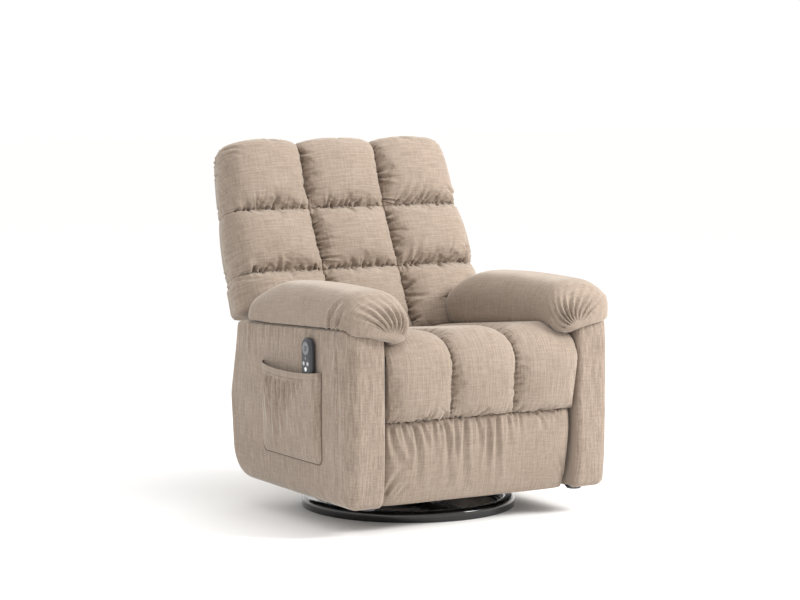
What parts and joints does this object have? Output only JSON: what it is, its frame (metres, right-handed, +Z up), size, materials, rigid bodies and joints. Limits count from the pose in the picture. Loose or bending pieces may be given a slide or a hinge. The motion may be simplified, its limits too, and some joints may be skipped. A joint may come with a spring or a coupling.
{
  "type": "swivel power recliner",
  "caption": "Upholstered power recliner with tufted back, channelled seat, pillow arms, side pocket and handset, on a round swivel base.",
  "frame": {"origin": "middle of the chair's plan box, on the floor", "axes": "+Z up, the chair faces -Y, and +X is the sitter's left; the pocket with the handset is at -X"},
  "size_m": [0.8635, 0.9139, 1.027],
  "materials": {
    "upholstery": "warm beige chenille with fine slubs and a soft sheen",
    "black_paint": "glossy black powder coat",
    "dark_steel": "satin dark grey coat on stamped steel",
    "zinc_steel": "bright zinc plate",
    "plywood": "plain sanded plywood",
    "black_plastic": "fine satin grain",
    "key_white": "smooth translucent white"
  },
  "bodies": {
    "base": {"base_ring": "black_paint", "base_spider": "black_paint"},
    "chassis": {"bearing_race": "zinc_steel", "bearing_upper_plate": "zinc_steel", "cross_member_front": "dark_steel", "cross_member_rear": "dark_steel", "motor_cross_tube": "dark_steel", "seat_rail_front": "plywood", "seat_rail_rear": "plywood", "seat_springs": "zinc_steel", "seat_cushion": "upholstery", "rear_apron": "upholstery", "power_inlet": "black_plastic", "side_pocket": "upholstery", "footrest_actuator_tube": "zinc_steel", "footrest_gearmotor": "black_plastic", "recline_actuator_tube": "zinc_steel", "recline_gearmotor": "black_plastic", "arm_panel_left": "upholstery", "arm_pad_left": "upholstery", "side_plate_left": "dark_steel", "glide_front_left": "black_plastic", "glide_rear_left": "black_plastic", "arm_panel_right": "upholstery", "arm_pad_right": "upholstery", "side_plate_right": "dark_steel", "glide_front_right": "black_plastic", "glide_rear_right": "black_plastic"},
    "back": {"back_cushion": "upholstery", "back_cover": "upholstery", "back_rail_bottom": "plywood", "back_rail_top": "plywood", "back_upright_left": "plywood", "back_bracket_left": "dark_steel", "back_upright_right": "plywood", "back_bracket_right": "dark_steel"},
    "footrest": {"footrest_upper_pad": "upholstery", "footrest_lower_pad": "upholstery", "footrest_board": "plywood", "footrest_bracket_left": "dark_steel", "footrest_bracket_right": "dark_steel"},
    "footrest_drive": {"footrest_torque_tube": "zinc_steel"},
    "footrest_links": {"footrest_push_link_left": "dark_steel", "footrest_push_link_right": "dark_steel"},
    "recline_drive": {"recline_torque_tube": "zinc_steel"},
    "recline_links": {"recline_pull_link_left": "dark_steel", "recline_pull_link_right": "dark_steel"},
    "footrest_rod": {"footrest_actuator_rod": "zinc_steel"},
    "recline_rod": {"recline_actuator_rod": "zinc_steel"},
    "handset": {"handset_back": "black_plastic", "handset_face": "black_plastic"},
    "key_pad": {"key_pad": "black_plastic"},
    "key_centre": {"key_centre": "key_white"},
    "key_heat": {"key_heat": "black_plastic"},
    "key_back_up": {"key_back_up": "black_plastic"},
    "key_back_down": {"key_back_down": "black_plastic"},
    "key_power": {"key_power": "key_white"},
    "key_foot_up": {"key_foot_up": "black_plastic"},
    "key_foot_down": {"key_foot_down": "black_plastic"},
    "key_mode": {"key_mode": "black_plastic"}
  },
  "joints": [
    {"name": "swivel", "type": "hinge", "parent": "base", "child": "chassis", "pos_m": [0.006, -0.045, 0.03], "axis": [0, 0, 1], "continuous": true},
    {"name": "recline", "type": "hinge", "parent": "chassis", "child": "back", "pos_m": [0.006, 0.155, 0.42], "axis": [-1, 0, 0], "range_deg": [0, 42]},
    {"name": "footrest", "type": "hinge", "parent": "chassis", "child": "footrest", "pos_m": [0.006, -0.42, 0.47], "axis": [-1, 0, 0], "range_deg": [0, 85]},
    {"name": "footrest_drive_turn", "type": "hinge", "parent": "chassis", "child": "footrest_drive", "pos_m": [0.006, -0.26, 0.335], "axis": [-1, 0, 0], "range_deg": [0, 85]},
    {"name": "footrest_link_turn", "type": "hinge", "parent": "footrest_drive", "child": "footrest_links", "pos_m": [0.006, -0.185, 0.11], "axis": [-1, 0, 0], "range_deg": [-85, 0]},
    {"name": "footrest_rod_slide", "type": "slide", "parent": "chassis", "child": "footrest_rod", "axis": [0, -1, 0], "range_m": [0, 0.1082]},
    {"name": "recline_drive_turn", "type": "hinge", "parent": "chassis", "child": "recline_drive", "pos_m": [0.006, -0.045, 0.372], "axis": [-1, 0, 0], "range_deg": [0, 42]},
    {"name": "recline_link_turn", "type": "hinge", "parent": "back", "child": "recline_links", "pos_m": [0.006, 0.165, 0.32], "axis": [-1, 0, 0], "range_deg": [-42, 0]},
    {"name": "recline_rod_slide", "type": "slide", "parent": "chassis", "child": "recline_rod", "axis": [0, -1, 0], "range_m": [0, 0.0574]},
    {"name": "handset_lift", "type": "slide", "parent": "chassis", "child": "handset", "axis": [0, 0, 1], "range_m": [0, 0.2]},
    {"name": "key_pad_press", "type": "slide", "parent": "handset", "child": "key_pad", "axis": [1, 0, 0], "range_m": [0, 0.001], "stiffness_N_per_m": 300, "springref_m": -0.002},
    {"name": "key_centre_press", "type": "slide", "parent": "handset", "child": "key_centre", "axis": [1, 0, 0], "range_m": [0, 0.001], "stiffness_N_per_m": 300, "springref_m": -0.002},
    {"name": "key_heat_press", "type": "slide", "parent": "handset", "child": "key_heat", "axis": [1, 0, 0], "range_m": [0, 0.001], "stiffness_N_per_m": 300, "springref_m": -0.002},
    {"name": "key_back_up_press", "type": "slide", "parent": "handset", "child": "key_back_up", "axis": [1, 0, 0], "range_m": [0, 0.001], "stiffness_N_per_m": 300, "springref_m": -0.002},
    {"name": "key_back_down_press", "type": "slide", "parent": "handset", "child": "key_back_down", "axis": [1, 0, 0], "range_m": [0, 0.001], "stiffness_N_per_m": 300, "springref_m": -0.002},
    {"name": "key_power_press", "type": "slide", "parent": "handset", "child": "key_power", "axis": [1, 0, 0], "range_m": [0, 0.001], "stiffness_N_per_m": 300, "springref_m": -0.002},
    {"name": "key_foot_up_press", "type": "slide", "parent": "handset", "child": "key_foot_up", "axis": [1, 0, 0], "range_m": [0, 0.001], "stiffness_N_per_m": 300, "springref_m": -0.002},
    {"name": "key_foot_down_press", "type": "slide", "parent": "handset", "child": "key_foot_down", "axis": [1, 0, 0], "range_m": [0, 0.001], "stiffness_N_per_m": 300, "springref_m": -0.002},
    {"name": "key_mode_press", "type": "slide", "parent": "handset", "child": "key_mode", "axis": [1, 0, 0], "range_m": [0, 0.001], "stiffness_N_per_m": 300, "springref_m": -0.002}
  ],
  "couplings": [
    {"joint": "footrest_drive_turn", "follows": "footrest", "ratio": 1},
    {"joint": "footrest_link_turn", "follows": "footrest", "ratio": -1},
    {"joint": "footrest_rod_slide", "follows": "footrest", "m_per_rad": 0.072863},
    {"joint": "recline_drive_turn", "follows": "recline", "ratio": 1},
    {"joint": "recline_link_turn", "follows": "recline", "ratio": -1},
    {"joint": "recline_rod_slide", "follows": "recline", "m_per_rad": 0.078221}
  ]
}
